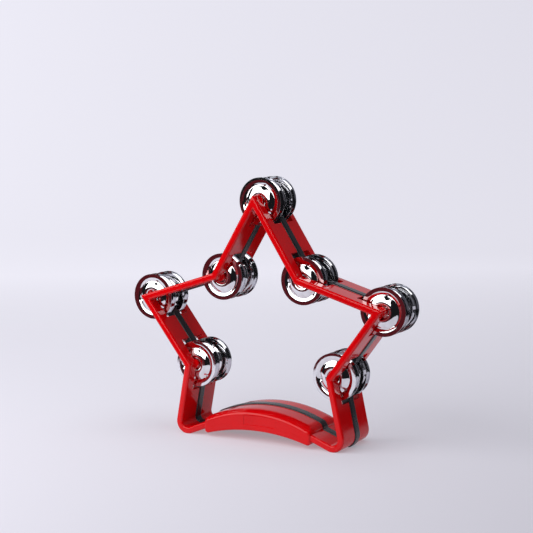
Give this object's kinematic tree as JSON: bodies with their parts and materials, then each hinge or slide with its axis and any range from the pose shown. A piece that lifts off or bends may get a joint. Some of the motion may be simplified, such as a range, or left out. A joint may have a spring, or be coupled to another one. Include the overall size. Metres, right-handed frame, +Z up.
{
  "type": "tambourine",
  "caption": "Star-shaped headless hand tambourine: red plastic shells around a black centre band, loose steel jingles on pins at the corners, and an arched grip at the base.",
  "frame": {"origin": "on the floor, midway between the two feet and midway through the depth", "axes": "+X to the right across the star seen from the front, +Y from the front rim to the rear rim, +Z up to the top tip"},
  "size_m": [0.2702, 0.053, 0.2278],
  "materials": {
    "red_shell": "glossy moulded ABS, saturated red",
    "centre_band": "satin black moulded plastic",
    "pin_steel": "drawn steel wire pin",
    "jingle_chrome": "mirror-plated stamped steel with hammered dents"
  },
  "bodies": {
    "frame": {"front_shell": "red_shell", "rear_shell": "red_shell", "centre_band": "centre_band"},
    "pin_top": {"pin_top": "pin_steel"},
    "jingle_top_1": {"jingle_top_1": "jingle_chrome"},
    "jingle_top_2": {"jingle_top_2": "jingle_chrome"},
    "jingle_top_3": {"jingle_top_3": "jingle_chrome"},
    "jingle_top_4": {"jingle_top_4": "jingle_chrome"},
    "pin_upper_left": {"pin_upper_left": "pin_steel"},
    "jingle_upper_left_1": {"jingle_upper_left_1": "jingle_chrome"},
    "jingle_upper_left_2": {"jingle_upper_left_2": "jingle_chrome"},
    "jingle_upper_left_3": {"jingle_upper_left_3": "jingle_chrome"},
    "jingle_upper_left_4": {"jingle_upper_left_4": "jingle_chrome"},
    "pin_upper_right": {"pin_upper_right": "pin_steel"},
    "jingle_upper_right_1": {"jingle_upper_right_1": "jingle_chrome"},
    "jingle_upper_right_2": {"jingle_upper_right_2": "jingle_chrome"},
    "jingle_upper_right_3": {"jingle_upper_right_3": "jingle_chrome"},
    "jingle_upper_right_4": {"jingle_upper_right_4": "jingle_chrome"},
    "pin_left": {"pin_left": "pin_steel"},
    "jingle_left_1": {"jingle_left_1": "jingle_chrome"},
    "jingle_left_2": {"jingle_left_2": "jingle_chrome"},
    "jingle_left_3": {"jingle_left_3": "jingle_chrome"},
    "jingle_left_4": {"jingle_left_4": "jingle_chrome"},
    "pin_right": {"pin_right": "pin_steel"},
    "jingle_right_1": {"jingle_right_1": "jingle_chrome"},
    "jingle_right_2": {"jingle_right_2": "jingle_chrome"},
    "jingle_right_3": {"jingle_right_3": "jingle_chrome"},
    "jingle_right_4": {"jingle_right_4": "jingle_chrome"},
    "pin_lower_left": {"pin_lower_left": "pin_steel"},
    "jingle_lower_left_1": {"jingle_lower_left_1": "jingle_chrome"},
    "jingle_lower_left_2": {"jingle_lower_left_2": "jingle_chrome"},
    "jingle_lower_left_3": {"jingle_lower_left_3": "jingle_chrome"},
    "jingle_lower_left_4": {"jingle_lower_left_4": "jingle_chrome"},
    "pin_lower_right": {"pin_lower_right": "pin_steel"},
    "jingle_lower_right_1": {"jingle_lower_right_1": "jingle_chrome"},
    "jingle_lower_right_2": {"jingle_lower_right_2": "jingle_chrome"},
    "jingle_lower_right_3": {"jingle_lower_right_3": "jingle_chrome"},
    "jingle_lower_right_4": {"jingle_lower_right_4": "jingle_chrome"}
  },
  "joints": [
    {"name": "spin_top", "type": "hinge", "parent": "frame", "child": "pin_top", "pos_m": [0, 0, 0.20797], "axis": [0, 1, 0], "continuous": true},
    {"name": "slide_top_1", "type": "slide", "parent": "pin_top", "child": "jingle_top_1", "axis": [0, -1, 0], "range_m": [-0.0019, 0.00035]},
    {"name": "slide_top_2", "type": "slide", "parent": "pin_top", "child": "jingle_top_2", "axis": [0, 1, 0], "range_m": [-0.0019, 0.00035]},
    {"name": "slide_top_3", "type": "slide", "parent": "pin_top", "child": "jingle_top_3", "axis": [0, -1, 0], "range_m": [-0.0019, 0.00035]},
    {"name": "slide_top_4", "type": "slide", "parent": "pin_top", "child": "jingle_top_4", "axis": [0, 1, 0], "range_m": [-0.0019, 0.00035]},
    {"name": "spin_upper_left", "type": "hinge", "parent": "frame", "child": "pin_upper_left", "pos_m": [-0.04004, 0, 0.14144], "axis": [0, 1, 0], "continuous": true},
    {"name": "slide_upper_left_1", "type": "slide", "parent": "pin_upper_left", "child": "jingle_upper_left_1", "axis": [0, -1, 0], "range_m": [-0.0019, 0.00035]},
    {"name": "slide_upper_left_2", "type": "slide", "parent": "pin_upper_left", "child": "jingle_upper_left_2", "axis": [0, 1, 0], "range_m": [-0.0019, 0.00035]},
    {"name": "slide_upper_left_3", "type": "slide", "parent": "pin_upper_left", "child": "jingle_upper_left_3", "axis": [0, -1, 0], "range_m": [-0.0019, 0.00035]},
    {"name": "slide_upper_left_4", "type": "slide", "parent": "pin_upper_left", "child": "jingle_upper_left_4", "axis": [0, 1, 0], "range_m": [-0.0019, 0.00035]},
    {"name": "spin_upper_right", "type": "hinge", "parent": "frame", "child": "pin_upper_right", "pos_m": [0.04004, 0, 0.14144], "axis": [0, 1, 0], "continuous": true},
    {"name": "slide_upper_right_1", "type": "slide", "parent": "pin_upper_right", "child": "jingle_upper_right_1", "axis": [0, -1, 0], "range_m": [-0.0019, 0.00035]},
    {"name": "slide_upper_right_2", "type": "slide", "parent": "pin_upper_right", "child": "jingle_upper_right_2", "axis": [0, 1, 0], "range_m": [-0.0019, 0.00035]},
    {"name": "slide_upper_right_3", "type": "slide", "parent": "pin_upper_right", "child": "jingle_upper_right_3", "axis": [0, -1, 0], "range_m": [-0.0019, 0.00035]},
    {"name": "slide_upper_right_4", "type": "slide", "parent": "pin_upper_right", "child": "jingle_upper_right_4", "axis": [0, 1, 0], "range_m": [-0.0019, 0.00035]},
    {"name": "spin_left", "type": "hinge", "parent": "frame", "child": "pin_left", "pos_m": [-0.11472, 0, 0.1198], "axis": [0, 1, 0], "continuous": true},
    {"name": "slide_left_1", "type": "slide", "parent": "pin_left", "child": "jingle_left_1", "axis": [0, -1, 0], "range_m": [-0.0019, 0.00035]},
    {"name": "slide_left_2", "type": "slide", "parent": "pin_left", "child": "jingle_left_2", "axis": [0, 1, 0], "range_m": [-0.0019, 0.00035]},
    {"name": "slide_left_3", "type": "slide", "parent": "pin_left", "child": "jingle_left_3", "axis": [0, -1, 0], "range_m": [-0.0019, 0.00035]},
    {"name": "slide_left_4", "type": "slide", "parent": "pin_left", "child": "jingle_left_4", "axis": [0, 1, 0], "range_m": [-0.0019, 0.00035]},
    {"name": "spin_right", "type": "hinge", "parent": "frame", "child": "pin_right", "pos_m": [0.11472, 0, 0.1198], "axis": [0, 1, 0], "continuous": true},
    {"name": "slide_right_1", "type": "slide", "parent": "pin_right", "child": "jingle_right_1", "axis": [0, -1, 0], "range_m": [-0.0019, 0.00035]},
    {"name": "slide_right_2", "type": "slide", "parent": "pin_right", "child": "jingle_right_2", "axis": [0, 1, 0], "range_m": [-0.0019, 0.00035]},
    {"name": "slide_right_3", "type": "slide", "parent": "pin_right", "child": "jingle_right_3", "axis": [0, -1, 0], "range_m": [-0.0019, 0.00035]},
    {"name": "slide_right_4", "type": "slide", "parent": "pin_right", "child": "jingle_right_4", "axis": [0, 1, 0], "range_m": [-0.0019, 0.00035]},
    {"name": "spin_lower_left", "type": "hinge", "parent": "frame", "child": "pin_lower_left", "pos_m": [-0.06925, 0, 0.06173], "axis": [0, 1, 0], "continuous": true},
    {"name": "slide_lower_left_1", "type": "slide", "parent": "pin_lower_left", "child": "jingle_lower_left_1", "axis": [0, -1, 0], "range_m": [-0.0019, 0.00035]},
    {"name": "slide_lower_left_2", "type": "slide", "parent": "pin_lower_left", "child": "jingle_lower_left_2", "axis": [0, 1, 0], "range_m": [-0.0019, 0.00035]},
    {"name": "slide_lower_left_3", "type": "slide", "parent": "pin_lower_left", "child": "jingle_lower_left_3", "axis": [0, -1, 0], "range_m": [-0.0019, 0.00035]},
    {"name": "slide_lower_left_4", "type": "slide", "parent": "pin_lower_left", "child": "jingle_lower_left_4", "axis": [0, 1, 0], "range_m": [-0.0019, 0.00035]},
    {"name": "spin_lower_right", "type": "hinge", "parent": "frame", "child": "pin_lower_right", "pos_m": [0.06925, 0, 0.06173], "axis": [0, 1, 0], "continuous": true},
    {"name": "slide_lower_right_1", "type": "slide", "parent": "pin_lower_right", "child": "jingle_lower_right_1", "axis": [0, -1, 0], "range_m": [-0.0019, 0.00035]},
    {"name": "slide_lower_right_2", "type": "slide", "parent": "pin_lower_right", "child": "jingle_lower_right_2", "axis": [0, 1, 0], "range_m": [-0.0019, 0.00035]},
    {"name": "slide_lower_right_3", "type": "slide", "parent": "pin_lower_right", "child": "jingle_lower_right_3", "axis": [0, -1, 0], "range_m": [-0.0019, 0.00035]},
    {"name": "slide_lower_right_4", "type": "slide", "parent": "pin_lower_right", "child": "jingle_lower_right_4", "axis": [0, 1, 0], "range_m": [-0.0019, 0.00035]}
  ]
}
